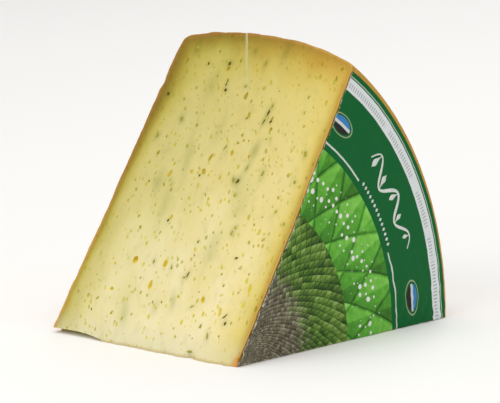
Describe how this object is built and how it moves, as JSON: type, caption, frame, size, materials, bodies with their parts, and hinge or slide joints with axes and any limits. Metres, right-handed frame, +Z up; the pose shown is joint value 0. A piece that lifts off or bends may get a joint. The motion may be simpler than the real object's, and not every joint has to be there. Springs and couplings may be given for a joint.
{
  "type": "wild garlic cheese wedge",
  "caption": "Wedge of semi-hard cheese with wild garlic, cut from a round wheel, lying on a cut face, with small eyes in the cuts, a golden rind and a paper label on one flat side.",
  "frame": {"origin": "on the table, under the middle of the wedge's bounding box", "axes": "+Z up from the cut face that it lies on; +Y along the wheel's axis, away from the paper label; +X from the sharp edge out to the rim"},
  "size_m": [0.1458, 0.1056, 0.1191],
  "materials": {
    "cheese": "satin, moist paste with a dry golden rind",
    "label": "satin printed paper"
  },
  "bodies": {
    "root": {"cheese": "cheese", "label": "label"}
  },
  "joints": []
}
